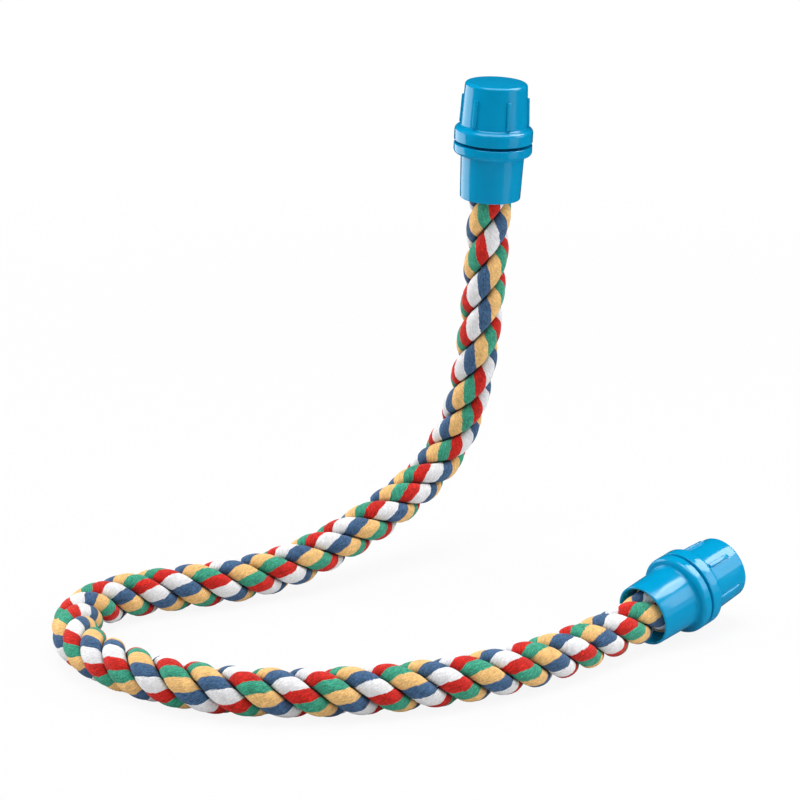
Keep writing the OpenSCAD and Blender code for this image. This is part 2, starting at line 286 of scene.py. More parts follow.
print("strand radius outside and to the heart:", np.round(section_radius(np.array([0, np.pi])), 2))


# %% A tube from a grid of points
def make_grid_piece(name, points, uv_u, uv_v, grooves):
    """A closed tube from rows of points, with yarn coordinates as UVs and painted groove shade."""
    rows, cols = points.shape[:2]
    verts = points.reshape(-1, 3) * MM
    i, j = np.meshgrid(np.arange(rows - 1), np.arange(cols), indexing="ij")
    jn = (j + 1) % cols
    quads = np.stack([i * cols + j, (i + 1) * cols + j, (i + 1) * cols + jn, i * cols + jn], -1)
    quads = quads.reshape(-1, 4)
    faces = quads.tolist()
    faces.append(list(range(cols)))
    faces.append(list(range((rows - 1) * cols, rows * cols))[::-1])
    mesh = bpy.data.meshes.new(name)
    mesh.from_pydata(verts.tolist(), [], faces)
    layer = mesh.uv_layers.new(name="yarn")
    u_here = uv_u[:-1]
    u_next = np.concatenate([uv_u[:-1, 1:], uv_u[:-1, :1] + BUNDLES], 1)
    v0, v1 = uv_v[:-1, None] + 0 * u_here, uv_v[1:, None] + 0 * u_here
    coords = np.stack([
        np.stack([u_here, v0], -1), np.stack([u_here, v1], -1),
        np.stack([u_next, v1], -1), np.stack([u_next, v0], -1)], 2).reshape(-1, 2)
    flat = np.zeros((len(mesh.loops), 2))
    flat[:len(coords)] = coords
    layer.data.foreach_set("uv", flat.ravel())
    # the painted shade for the grooves between strands is kept on each point for the material
    groove_shade = mesh.attributes.new("painted_groove_shade", "FLOAT", "POINT")
    groove_shade.data.foreach_set("value", grooves.ravel())
    mesh.shade_smooth()
    piece = bpy.data.objects.new(name, mesh)
    bpy.context.scene.collection.objects.link(piece)
    return piece


# %% Rings along the rope
def smooth_wander(seed, s, reach, step):
    """A slow, seeded wander along the rope, as no yarn lies perfectly."""
    rng = np.random.default_rng(seed)
    knots = np.arange(s[0], s[-1] + 2 * step, step)
    return np.interp(s, knots, rng.normal(0, reach, len(knots)))


ring_s = np.arange(-ROPE_IN_CUP, FREE_LENGTH + ROPE_IN_CUP + RING_STEP / 2, RING_STEP)
ring_s = np.linspace(ring_s[0], FREE_LENGTH + ROPE_IN_CUP, len(ring_s))
heart, along, across, aside = frames_along(ring_s)
lay = np.radians(LAY_START) + 2 * np.pi * lay_turns(ring_s)
front_angle = np.unwrap(np.arctan2(aside @ FRONT, across @ FRONT))


def yarn_turn(strand):
    """How far the strand's bundles have turned at each ring, against the lay."""
    eased = EASE_DEG * np.sin(lay + strand * 2 * np.pi / STRANDS - front_angle)
    turned_deg = (-YARN_TWIST * 360 * lay_turns(ring_s)
                  + np.interp(ring_s, TURN_STATIONS, YARN_TURN_DEG[strand]))
    return np.radians(turned_deg + eased)


def strand_point(i, theta, alpha, radius):
    """Points of a strand whose centre lies at angle theta about the heart, at ring i."""
    out = np.cos(theta)[..., None] * across[i] + np.sin(theta)[..., None] * aside[i]
    side = -np.sin(theta)[..., None] * across[i] + np.cos(theta)[..., None] * aside[i]
    return (heart[i] + LOBE_CENTRE * out
            + (radius * np.cos(alpha))[..., None] * out + (radius * np.sin(alpha))[..., None] * side)


print("rings:", len(ring_s))

# %% The three strands
strand_pieces = []
for strand in range(STRANDS):
    u = np.arange(COLUMNS) * BUNDLES / COLUMNS
    turn = yarn_turn(strand)
    wobble = smooth_wander(EDGE_SEED + strand, ring_s, *EDGE_WANDER)
    uu = u[None, :] + 0 * ring_s[:, None]
    alpha = np.radians(BUNDLE_DEG) * (uu + wobble[:, None]) + turn[:, None]
    lift = np.zeros_like(uu)
    for b in range(BUNDLES):
        from_bundle = (uu - b + BUNDLES / 2) % BUNDLES - BUNDLES / 2
        near = np.exp(-(from_bundle / BUNDLE_SPREAD) ** 2)
        lift += near * smooth_wander(HEIGHT_SEED + BUNDLES * strand + b, ring_s, *HEIGHT_WANDER)[:, None]
    depth = RIDGE * (1 - bundle_ridge(uu)) - np.minimum(lift, 0.0) + np.maximum(lift, 0) * RISE_SHARE
    radius = section_radius(alpha) - depth
    theta = (lay + strand * 2 * np.pi / STRANDS)[:, None] + 0 * uu
    rows = np.arange(len(ring_s))[:, None] + 0 * u[None, :].astype(int)
    points = strand_point(rows, theta, alpha, radius)
    out_angle = np.abs((alpha + np.pi) % (2 * np.pi) - np.pi)
    # how much painted shade each point gets, growing into the groove between strands
    groove_shade = np.clip((np.degrees(out_angle) - GROOVE_SHADE_FROM_DEG) / GROOVE_SHADE_OVER_DEG, 0, 1)
    piece = make_grid_piece(f"laid_strand_{strand + 1}", points, uu, ring_s, groove_shade)
    strand_pieces.append(piece)
    print(piece.name, len(piece.data.polygons), "faces")

# %% [markdown]
# ## Dyed cotton
#
# The strands are carded cotton yarn, dyed in the bundle before the rope was laid: matt, a little
# fluffy, with fine fibres that run along each yarn and small differences in how the dye took. The
# colour follows the yarn coordinate, so the stripes run with the twist. The fibre streaks are 0.3 mm
# wide, which is as fine as the picture shows. Cotton has no gloss of its own, only a soft sheen.

# %% Cotton material
BUNDLE_WIDTH_MM = 5.03
# each bundle's dye and how strongly its fibres show: white, red, green, tan and blue
DYES = (("#E3E3E5", 0.34), ("#C1221A", 1.0), ("#399579", 0.92), ("#E7B977", 0.54), ("#3D5C7F", 1.0))


def cotton_material():
    """Dyed carded cotton; its stripes and streaks follow the yarn coordinates."""
    m = new_material("dyed_carded_cotton")
    uv = add_node(m, "ShaderNodeUVMap", uv_map="yarn")
    parts = add_node(m, "ShaderNodeSeparateXYZ", {0: uv.outputs[0]})
    across_mm = add_node(m, "ShaderNodeMath", {0: parts.outputs[0], 1: BUNDLE_WIDTH_MM},
                         operation="MULTIPLY")
    slant = add_node(m, "ShaderNodeMath", {0: parts.outputs[1], 1: 0.15, 2: across_mm.outputs[0]},
                     operation="MULTIPLY_ADD")
    fibre_place = add_node(m, "ShaderNodeCombineXYZ", {0: slant.outputs[0], 1: parts.outputs[1]})
    # streaks 0.3 mm wide and about 2 mm long
    fibre_scaled = add_node(m, "ShaderNodeVectorMath", {0: fibre_place.outputs[0], 1: (3.3, 0.5, 1.0)},
                            operation="MULTIPLY")
    fibre = add_node(m, "ShaderNodeTexNoise", {
        "Vector": fibre_scaled.outputs[0], "Scale": 1.0, "Detail": 3.0, "Roughness": 0.6})
    place = add_node(m, "ShaderNodeTexCoord")
    # the dye took unevenly over a few millimetres
    mottle = add_node(m, "ShaderNodeTexNoise", {
        "Vector": place.outputs["Object"], "Scale": 260.0, "Detail": 4.0, "Roughness": 0.65})
    # loose fibres stray over the edges of the bundles
    stray = add_node(m, "ShaderNodeMath", {0: fibre.outputs[0], 1: -0.5}, operation="ADD")
    strayed = add_node(m, "ShaderNodeMath", {0: stray.outputs[0], 1: 0.26, 2: parts.outputs[0]},
                       operation="MULTIPLY_ADD")
    wrapped = add_node(m, "ShaderNodeMath", {0: strayed.outputs[0], 1: BUNDLES, 2: 0.0},
                       operation="WRAP")
    share = add_node(m, "ShaderNodeMath", {0: wrapped.outputs[0], 1: BUNDLES}, operation="DIVIDE")
    ramp = add_node(m, "ShaderNodeValToRGB", {0: share.outputs[0]})
    ramp.color_ramp.interpolation = "CONSTANT"
    # the white bundle lies across the seam, so it comes first and last; alpha keeps the fibres' share
    starts = (0.0,) + BUNDLE_EDGES
    while len(ramp.color_ramp.elements) < len(starts):
        ramp.color_ramp.elements.new(0.5)
    for element, start, (colour, fibres_show) in zip(ramp.color_ramp.elements, starts, DYES + DYES[:1]):
        element.position = start / BUNDLES
        element.color = linear(colour)[:3] + (fibres_show,)
    streaks = add_node(m, "ShaderNodeMapRange", {0: fibre.outputs[0], 1: 0.25, 2: 0.75, 3: 0.4, 4: 1.75})
    # small pale and dark flecks among the fibres, 0.5 mm across
    fleck = add_node(m, "ShaderNodeTexNoise", {
        "Vector": place.outputs["Object"], "Scale": 2000.0, "Detail": 2.0})
    flecks = add_node(m, "ShaderNodeMapRange", {0: fleck.outputs[0], 1: 0.3, 2: 0.7, 3: 0.75, 4: 1.3})
    patches = add_node(m, "ShaderNodeMapRange", {0: mottle.outputs[0], 1: 0.3, 2: 0.7, 3: 0.8, 4: 1.14})
    woolly = add_node(m, "ShaderNodeMath", {0: streaks.outputs[0], 1: flecks.outputs[0]},
                      operation="MULTIPLY")
    tone = add_node(m, "ShaderNodeMath", {0: woolly.outputs[0], 1: patches.outputs[0]},
                    operation="MULTIPLY")
    # pale yarn shows its fibres less: tone is drawn towards 1 by the dye's share
    more = add_node(m, "ShaderNodeMath", {0: tone.outputs[0], 1: -1.0}, operation="ADD")
    shown = add_node(m, "ShaderNodeMath", {0: more.outputs[0], 1: ramp.outputs[1], 2: 1.0},
                     operation="MULTIPLY_ADD")
    groove_shade = add_node(m, "ShaderNodeAttribute", attribute_name="painted_groove_shade")
    # painted shade: the colour darkens towards the grooves where the strands press together
    groove_darkening = add_node(m, "ShaderNodeMapRange", {
        0: groove_shade.outputs["Fac"], 1: 0.0, 2: 1.0, 3: 1.0, 4: 0.12})
    tone_and_groove_shade = add_node(m, "ShaderNodeMath", {0: shown.outputs[0], 1: groove_darkening.outputs[0]},
                   operation="MULTIPLY")
    toned = add_node(m, "ShaderNodeVectorMath", {0: ramp.outputs[0], "Scale": tone_and_groove_shade.outputs[0]},
                     operation="SCALE")
    relief = add_node(m, "ShaderNodeMath", {0: mottle.outputs[0], 1: 0.4, 2: fibre.outputs[0]},
                      operation="MULTIPLY_ADD")
    bump = add_node(m, "ShaderNodeBump", {
        "Strength": 0.7, "Distance": 0.00025, "Height": relief.outputs[0]})
    shader = add_node(m, "ShaderNodeBsdfPrincipled", {
        "Base Color": toned.outputs[0], "Roughness": 0.92, "Specular IOR Level": 0.15,
        "Sheen Weight": 0.08, "Sheen Roughness": 0.6, "Normal": bump.outputs[0]})
    return finish_material(m, shader)


cotton = cotton_material()
for number, piece in enumerate(strand_pieces, 1):
    piece.data.materials.append(cotton)
    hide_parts(f"rope_strand_{number}")
    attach(piece, "perch")


# %% [markdown]
# ## Modelling helpers
#
# The plastic fittings are turned shapes. A circle is pulled along its outline step by step, which is
# how one would turn it by hand, and each ring of points can then be reached again for the ribs.

# %% Turning and placing
SMOOTH_UP_TO_DEG = 32


def deselect_all():
    bpy.ops.object.select_all(action="DESELECT")


def arc(centre, r, start, stop, steps=8):
    """Points of a rounded corner, angles in degrees."""
    return [(centre[0] + r * math.cos(a), centre[1] + r * math.sin(a))
            for a in np.radians(np.linspace(start, stop, steps + 1))]


def turned(name, outline, sides=144):
    """A turned solid: the outline runs from axis to axis, as (radius, height) in mm."""
    deselect_all()
    r0, z0 = outline[0]
    bpy.ops.mesh.primitive_circle_add(vertices=sides, radius=r0 * MM, location=(0, 0, z0 * MM))
    piece = bpy.context.object
    piece.name = piece.data.name = name
    bpy.ops.object.transform_apply(location=True, rotation=False, scale=False)
    bpy.ops.object.mode_set(mode="EDIT")
    bpy.ops.mesh.select_all(action="SELECT")
    for (ra, za), (rb, zb) in zip(outline, outline[1:]):
        bpy.ops.mesh.extrude_region_move(TRANSFORM_OT_translate={"value": (0, 0, (zb - za) * MM)})
        if abs(ra - rb) > 1e-6:
            bpy.ops.transform.resize(value=(rb / ra, rb / ra, 1), center_override=(0, 0, 0))
    bpy.ops.mesh.select_all(action="SELECT")
    bpy.ops.mesh.remove_doubles(threshold=0.02 * MM)
    bpy.ops.mesh.normals_make_consistent(inside=False)
    bpy.ops.object.mode_set(mode="OBJECT")
    return piece


def only(piece):
    """Selects this piece alone and makes it the active one."""
    deselect_all()
    piece.select_set(True)
    bpy.context.view_layer.objects.active = piece


def joined(name, pieces):
    """One piece out of several moulded in one."""
    deselect_all()
    for piece in pieces:
        piece.select_set(True)
    bpy.context.view_layer.objects.active = pieces[0]
    bpy.ops.object.join()
    result = bpy.context.object
    result.name = result.data.name = name
    return result


def placed(piece, matrix):
    """Moves the piece to its place and bakes the place into its mesh."""
    only(piece)
    piece.matrix_world = matrix
    bpy.ops.object.transform_apply(location=True, rotation=True, scale=True)
    bpy.ops.object.shade_smooth_by_angle(angle=math.radians(SMOOTH_UP_TO_DEG))
    return piece


# %% Where the two fittings sit
def mouth_matrix(mouth, polar, heading):
    """The place of a fitting: its own +Z runs from the cup's mouth out along the fitting."""
    return (Matrix.Translation(Vector(mouth) * MM) @ Matrix.Rotation(math.radians(heading), 4, "Z")
            @ Matrix.Rotation(math.radians(polar), 4, "Y"))


AT_UPPER = mouth_matrix(upper_mouth, UPPER_LEAN, UPPER_HEADING)
AT_LOWER = mouth_matrix(lower_mouth, 90 - LOWER_RISE, LOWER_HEADING)
print("upper mouth", np.round(upper_mouth, 1), "lower mouth", np.round(lower_mouth, 1))


# %% [markdown]
# ## Screw threads
#
# The cap is held by a coarse moulded thread with a 3 mm pitch. One ridge is a small trapezoid that
# the Screw modifier carries round and up, and its two ends are then closed. In this model the cap
# slides off straight, so the crests of the stud and of the cap just clear each other.

# %% A helical ridge
PITCH = 3.0
# half the ridge's width at its foot and on its land, and the flats in one turn
THREAD_FOOT, THREAD_LAND, THREAD_STEPS = 0.95, 0.35, 48


def thread_ridge(name, root, crest, start, stop):
    """A ridge from radius root to radius crest that winds from height start to height stop."""
    deselect_all()
    bpy.ops.mesh.primitive_plane_add(size=1, location=(0, 0, 0))
    ridge = bpy.context.object
    ridge.name = ridge.data.name = name
    corners = ((root, -THREAD_FOOT), (crest, -THREAD_LAND), (crest, THREAD_LAND), (root, THREAD_FOOT))
    for vertex, k in zip(ridge.data.vertices, (0, 1, 3, 2)):
        radius, height = corners[k]
        vertex.co = (radius * MM, 0, (start + height) * MM)
    bpy.ops.object.mode_set(mode="EDIT")
    bpy.ops.mesh.select_all(action="SELECT")
    bpy.ops.mesh.delete(type="ONLY_FACE")
    bpy.ops.object.mode_set(mode="OBJECT")
    turns = (stop - start) / PITCH
    screw = ridge.modifiers.new("thread", "SCREW")
    screw.angle = 2 * math.pi * turns
    screw.screw_offset = (stop - start) * MM
    screw.steps = screw.render_steps = round(THREAD_STEPS * turns)
    screw.use_merge_vertices = False
    bpy.ops.object.modifier_apply(modifier="thread")
    bpy.ops.object.mode_set(mode="EDIT")
    bpy.ops.mesh.select_all(action="SELECT")
    bpy.ops.mesh.fill_holes(sides=4)
    bpy.ops.mesh.normals_make_consistent(inside=False)
    bpy.ops.object.mode_set(mode="OBJECT")
    return ridge


# %% [markdown]
# ## End cups
#
# An injection-moulded cup: its mouth takes the rope, a rounded flange bears on the cage's wires, a
# plain neck passes between two wires, and a hollow threaded stud takes the cap. Edges are rounded as
# a mould leaves them.

# %% End cup
CUP_ROOT_R, CUP_BORE_R, CUP_FLOOR_R, BORE_DEPTH = 11.4, 9.7, 9.3, 17.8
CUP_FILLET, FLOOR_FILLET, FACE_EDGE, CHAMFER = 0.8, 0.6, 0.35, 0.3
BORE_FLARE = 0.9    # the bore opens towards the lip from this height down
DRAFT_AT, DRAFT_OUT = 8.0, 0.25    # up to this height the wall grows only by this much
NECK_R, NECK_LEN, STUD_R, STUD_CORE_R, STUD_LEN = 5.6, 3.0, 5.2, 4.55, 18.0
NECK_EDGE, SHOULDER = 0.1, 0.6    # how far before and past its end the neck steps down to the stud
STUD_HOLE_R, STUD_HOLE_DEPTH, STUD_POINT, STUD_POINT_LEN = 2.4, 14.0, 0.7, 0.8
AXIS_R = 0.005    # an outline starts and ends this close to its axis
LET_IN = 0.3    # a thread's foot is sunk this deep into the wall that carries it
CREST_CLEAR = 0.02    # a crest stays this far inside the exact solid's
flange_z = CUP_LEN - CUP_FLANGE_T
neck_z, stud_z = CUP_LEN + NECK_LEN, CUP_LEN + STUD_LEN

# from the bore's floor down its wall, round the lip and up outside to the flange, then the neck and
# the stud, and back down the stud's core hole
cup_outline = (
    [(AXIS_R, BORE_DEPTH), (CUP_FLOOR_R - FLOOR_FILLET, BORE_DEPTH)]
    + arc((CUP_FLOOR_R - FLOOR_FILLET, BORE_DEPTH - FLOOR_FILLET), FLOOR_FILLET, 90, 0, 4)
    + [(CUP_BORE_R, BORE_FLARE)]
    + arc((CUP_MOUTH_R - CUP_LIP, CUP_LIP), CUP_LIP, -140, 0, 8)
    + [(CUP_MOUTH_R + DRAFT_OUT, DRAFT_AT)]
    + arc((CUP_ROOT_R + CUP_FILLET, flange_z - CUP_FILLET), CUP_FILLET, 180, 90, 6)
    + arc((FLANGE_R - CUP_EDGE, flange_z + CUP_EDGE), CUP_EDGE, -90, 0, 8)
    + arc((FLANGE_R - FACE_EDGE, CUP_LEN - FACE_EDGE), FACE_EDGE, 0, 90, 4)
    + [(NECK_R + CHAMFER, CUP_LEN), (NECK_R, CUP_LEN + CHAMFER), (NECK_R, neck_z - NECK_EDGE)]
    + [(STUD_CORE_R, neck_z + SHOULDER), (STUD_CORE_R, stud_z - STUD_POINT_LEN)]
    + [(STUD_CORE_R - STUD_POINT, stud_z), (STUD_HOLE_R + CHAMFER, stud_z)]
    + [(STUD_HOLE_R, stud_z - CHAMFER), (STUD_HOLE_R, stud_z - STUD_HOLE_DEPTH)]
    + [(AXIS_R, stud_z - STUD_HOLE_DEPTH)]
)
STUD_THREAD_FROM, STUD_THREAD_TO = neck_z + 1.7, stud_z - 1.9


def end_cup(name, matrix):
    body = turned(name, cup_outline)
    thread = thread_ridge("thread", STUD_CORE_R - LET_IN, STUD_R - CREST_CLEAR,
                          STUD_THREAD_FROM, STUD_THREAD_TO)
    return placed(joined(name, [body, thread]), matrix)


# %% [markdown]
# ## Screw caps
#
# The cap is a hollow shell with a flange and six narrow grip ribs. The ribs are pulled out of the
# turned shell: three columns of faces in every sixty degrees are extruded and their edges bevelled.
# Inside, a threaded boss hangs from the top on four webs, as moulders do to keep walls thin.

# %% The cap's sizes and outline
GAP, CAP_LEN, CAP_TOP_R, CAP_ROOT_R, CAP_FLANGE_T = 1.0, 21.0, 11.2, 11.9, 5.2
CAP_FLANGE_EDGE, CAP_TOP_EDGE, CAP_FILLET, CAP_WALL, CAP_BEVEL = 1.7, 1.2, 0.8, 2.1, 0.6
RIBS, RIB_H, RIB_TOP_GAP, RIB_COLUMNS, RIB_EDGE, SIDES = 6, 0.7, 5.0, 3, 0.3, 144
BOSS_MOUTH, BOSS_R, BOSS_ROOT_R, BOSS_CREST_R, BOSS_EDGE, BOSS_SIDES = 4.8, 7.3, 5.9, 5.3, 0.2, 72
WEBS, WEB_T, WEB_EDGE, WEB_SUNK, CEILING_SUNK = 4, 1.4, 0.15, 0.6, 0.4
cap_top = GAP + CAP_LEN
cap_flange_z = GAP + CAP_FLANGE_T
ceiling = cap_top - CAP_WALL
rib_end = cap_top - RIB_TOP_GAP
rib_start = cap_flange_z + CAP_FILLET


def cap_radius(z):
    """The shell's outside radius at height z."""
    low, high = rib_start, cap_top - CAP_TOP_EDGE
    return CAP_ROOT_R + (CAP_TOP_R - CAP_ROOT_R) * (z - low) / (high - low)


# from the top down outside to the flange and its face, and back up inside to the ceiling
cap_outline = (
    [(AXIS_R, cap_top), (CAP_TOP_R - CAP_TOP_EDGE, cap_top)]
    + arc((CAP_TOP_R - CAP_TOP_EDGE, cap_top - CAP_TOP_EDGE), CAP_TOP_EDGE, 84, 0, 8)
    + [(cap_radius(rib_end), rib_end)]
    + arc((CAP_ROOT_R + CAP_FILLET, rib_start), CAP_FILLET, 180, 270, 6)
    + arc((FLANGE_R - CAP_FLANGE_EDGE, cap_flange_z - CAP_FLANGE_EDGE), CAP_FLANGE_EDGE, 90, 0, 8)
    + arc((FLANGE_R - FACE_EDGE, GAP + FACE_EDGE), FACE_EDGE, 0, -90, 4)
    + [(CAP_ROOT_R - CAP_WALL + CHAMFER, GAP), (CAP_ROOT_R - CAP_WALL, GAP + CHAMFER)]
    + [(CAP_TOP_R - CAP_WALL, ceiling - CAP_BEVEL), (CAP_TOP_R - CAP_WALL - CAP_BEVEL, ceiling)]
    + [(AXIS_R, ceiling)]
)
print("cap outline:", len(cap_outline), "points")


# %% Ribs and webs
def add_ribs(shell):
    """Pulls the grip ribs out of the shell and rounds their edges."""
    only(shell)
    bpy.ops.object.mode_set(mode="EDIT")
    bpy.context.tool_settings.mesh_select_mode = (False, False, True)
    bpy.ops.mesh.select_all(action="DESELECT")
    bpy.ops.object.mode_set(mode="OBJECT")
    column = 2 * math.pi / SIDES
    for polygon in shell.data.polygons:
        x, y, z = polygon.center / MM
        column_number = math.floor((math.atan2(y, x) % (2 * math.pi)) / column)
        in_rib = column_number % (SIDES // RIBS) < RIB_COLUMNS
        # the outside wall alone, from the flange's fillet up to where the ribs end
        outside = math.hypot(x, y) > CAP_TOP_R - 0.5
        polygon.select = in_rib and outside and rib_start - 0.1 < z < rib_end
    chosen = sum(p.select for p in shell.data.polygons)
    bpy.ops.object.mode_set(mode="EDIT")
    bpy.ops.mesh.extrude_region_shrink_fatten(
        TRANSFORM_OT_shrink_fatten={"value": RIB_H * MM, "use_even_offset": True})
    bpy.ops.mesh.region_to_loop()
    bpy.ops.mesh.bevel(offset=RIB_EDGE * MM, segments=3, affect="EDGES")
    bpy.context.tool_settings.mesh_select_mode = (True, False, False)
    bpy.ops.mesh.select_all(action="DESELECT")
    bpy.ops.object.mode_set(mode="OBJECT")
    print("rib faces:", chosen)


def web(angle):
    """One flat web between the boss and the shell, let into both."""
    deselect_all()
    inner, outer = BOSS_R - WEB_SUNK, CAP_TOP_R - CAP_WALL + WEB_SUNK
    middle_z = (BOSS_MOUTH + ceiling + CEILING_SUNK) / 2
    bpy.ops.mesh.primitive_cube_add(size=1, location=((inner + outer) / 2 * MM, 0, middle_z * MM))
    plate = bpy.context.object
    plate.scale = ((outer - inner) * MM, WEB_T * MM, (ceiling - BOSS_MOUTH + CEILING_SUNK) * MM)
    bpy.ops.object.transform_apply(location=True, rotation=False, scale=True)
    bevel = plate.modifiers.new("edge", "BEVEL")
    bevel.width, bevel.segments = WEB_EDGE * MM, 2
    bpy.ops.object.modifier_apply(modifier="edge")
    plate.matrix_world = Matrix.Rotation(angle, 4, "Z")
    bpy.ops.object.transform_apply(location=False, rotation=True, scale=False)
    return plate


# %% One whole cap
boss_outline = [
    (BOSS_ROOT_R + CHAMFER, BOSS_MOUTH), (BOSS_R - BOSS_EDGE, BOSS_MOUTH),
    (BOSS_R, BOSS_MOUTH + BOSS_EDGE),
    (BOSS_R, ceiling + CEILING_SUNK), (BOSS_ROOT_R, ceiling + CEILING_SUNK),
    (BOSS_ROOT_R, BOSS_MOUTH + CHAMFER), (BOSS_ROOT_R + CHAMFER, BOSS_MOUTH),
]
BOSS_THREAD_FROM, BOSS_THREAD_TO = BOSS_MOUTH + 1.6, ceiling - 1.4


def screw_cap(name, matrix, rib_angle):
    """A cap on the cup at matrix, with a rib at rib_angle about its axis."""
    shell = turned(name, cap_outline, SIDES)
    add_ribs(shell)
    boss = turned("boss", boss_outline, BOSS_SIDES)
    thread = thread_ridge("thread", BOSS_ROOT_R + LET_IN, BOSS_CREST_R + CREST_CLEAR,
                          BOSS_THREAD_FROM, BOSS_THREAD_TO)
    webs = [web(math.radians(360 / WEBS * (i + 0.5))) for i in range(WEBS)]
    cap = joined(name, [shell, boss, thread] + webs)
    turn = math.radians(rib_angle - 360 / SIDES * RIB_COLUMNS / 2)
    return placed(cap, matrix @ Matrix.Translation((0, 0, CUP_LEN * MM)) @ Matrix.Rotation(turn, 4, "Z"))


# %% Both cups and both caps
UPPER_RIB_ANGLE, LOWER_RIB_ANGLE = 38.0, 40.0
upper_cup = end_cup("upper_cup_moulding", AT_UPPER)
lower_cup = end_cup("lower_cup_moulding", AT_LOWER)
upper_cap = screw_cap("upper_cap_moulding", AT_UPPER, UPPER_RIB_ANGLE)
lower_cap = screw_cap("lower_cap_moulding", AT_LOWER, LOWER_RIB_ANGLE)
for piece in (upper_cup, lower_cup, upper_cap, lower_cap):
    print(piece.name, len(piece.data.polygons), "faces")


# %% [markdown]
# ## Moulded plastic
#
# The fittings are glossy injection-moulded polypropylene, tinted cyan blue all through. The mould's
# polish leaves a clear gloss with a very faint ripple, and the tint is a little uneven.

# %% Blue plastic material
def plastic_material():
    m = new_material("moulded_blue_polypropylene")
    place = add_node(m, "ShaderNodeTexCoord")
    # faint uneven tint over about 10 mm
    cloud = add_node(m, "ShaderNodeTexNoise", {
        "Vector": place.outputs["Object"], "Scale": 90.0, "Detail": 2.0})
    tint = add_node(m, "ShaderNodeMix", {
        "Factor": cloud.outputs[0], 6: linear("#0091C3"), 7: linear("#0099C9")}, data_type="RGBA")
    # orange-peel ripple of the mould's polish, 1.5 mm apart
    ripple = add_node(m, "ShaderNodeTexNoise", {
        "Vector": place.outputs["Object"], "Scale": 650.0, "Detail": 1.0})
    gloss = add_node(m, "ShaderNodeMapRange", {0: cloud.outputs[0], 1: 0.3, 2: 0.7, 3: 0.1, 4: 0.15})
    bump = add_node(m, "ShaderNodeBump", {
        "Strength": 0.04, "Distance": 0.0001, "Height": ripple.outputs[0]})
    shader = add_node(m, "ShaderNodeBsdfPrincipled", {
        "Base Color": tint.outputs[2], "Roughness": gloss.outputs[0], "IOR": 1.49,
        "Normal": bump.outputs[0]})
    return finish_material(m, shader)


blue_plastic = plastic_material()
for piece, node, body in (
        (upper_cup, "upper_end_cup", "perch"), (lower_cup, "lower_end_cup", "perch"),
        (upper_cap, "upper_screw_cap", "upper_cap"), (lower_cap, "lower_screw_cap", "lower_cap")):
    piece.data.materials.append(blue_plastic)
    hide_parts(node)
    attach(piece, body)


# %% [markdown]
# ## What the cups hide
#
# The soft wire, the tape round the rope's ends and the glue keep their exact solids. They still get
# what they are made of, because a cap can be slid off and a cup looked into.

# %% Wire, tape and glue materials
def wire_material():
    m = new_material("drawn_soft_steel")
    place = add_node(m, "ShaderNodeTexCoord")
    # the die leaves the drawn wire a little rougher in places, 0.7 mm apart
    grain = add_node(m, "ShaderNodeTexNoise", {
        "Vector": place.outputs["Object"], "Scale": 1500.0, "Detail": 2.0})
    rough = add_node(m, "ShaderNodeMapRange", {0: grain.outputs[0], 3: 0.3, 4: 0.45})
    shader = add_node(m, "ShaderNodeBsdfPrincipled", {
        "Base Color": linear("#9C9DA0"), "Metallic": 1.0, "Roughness": rough.outputs[0]})
    return finish_material(m, shader)


def tape_material():
    m = new_material("creped_paper_tape")
    place = add_node(m, "ShaderNodeTexCoord")
    # crepe ridges 0.4 mm apart
    crepe = add_node(m, "ShaderNodeTexNoise", {
        "Vector": place.outputs["Object"], "Scale": 2500.0, "Detail": 2.0})
    bump = add_node(m, "ShaderNodeBump", {
        "Strength": 0.4, "Distance": 0.0001, "Height": crepe.outputs[0]})
    tone = add_node(m, "ShaderNodeMix", {
        "Factor": crepe.outputs[0], 6: linear("#D2C29A"), 7: linear("#E4D8B6")}, data_type="RGBA")
    shader = add_node(m, "ShaderNodeBsdfPrincipled", {
        "Base Color": tone.outputs[2], "Roughness": 0.8, "Normal": bump.outputs[0]})
    return finish_material(m, shader)


def glue_material():
    m = new_material("set_hot_melt_glue")
    place = add_node(m, "ShaderNodeTexCoord")
    # clouds 3 mm wide, where the glue set sooner and later
    flow = add_node(m, "ShaderNodeTexNoise", {
        "Vector": place.outputs["Object"], "Scale": 300.0, "Detail": 2.0})
    tone = add_node(m, "ShaderNodeMix", {
        "Factor": flow.outputs[0], 6: linear("#D9C48C"), 7: linear("#E6D6A8")}, data_type="RGBA")
    shader = add_node(m, "ShaderNodeBsdfPrincipled", {
        "Base Color": tone.outputs[2], "Roughness": 0.35, "Subsurface Weight": 0.2,
        "Subsurface Scale": 0.002})
    return finish_material(m, shader)


wire, tape, glue = wire_material(), tape_material(), glue_material()
hidden_finish = {"core_wire": wire, "upper_end_tape": tape, "lower_end_tape": tape,
                 "upper_glue_plug": glue, "lower_glue_plug": glue}
for name, material in hidden_finish.items():
    nodes[name].data.materials.clear()
    nodes[name].data.materials.append(material)
print("dressed exact pieces:", sorted(hidden_finish))

# %% [markdown]
# ## Stray fibres
#
# Cotton rope sheds short fibres. They are far too fine to model one by one at their real number, so
# fifteen hundred longer ones stand for them: thin three-sided hairs that leave the yarn nearly along its
# own direction and curl away. They all carry their yarn's coordinate, so each has its yarn's dye.

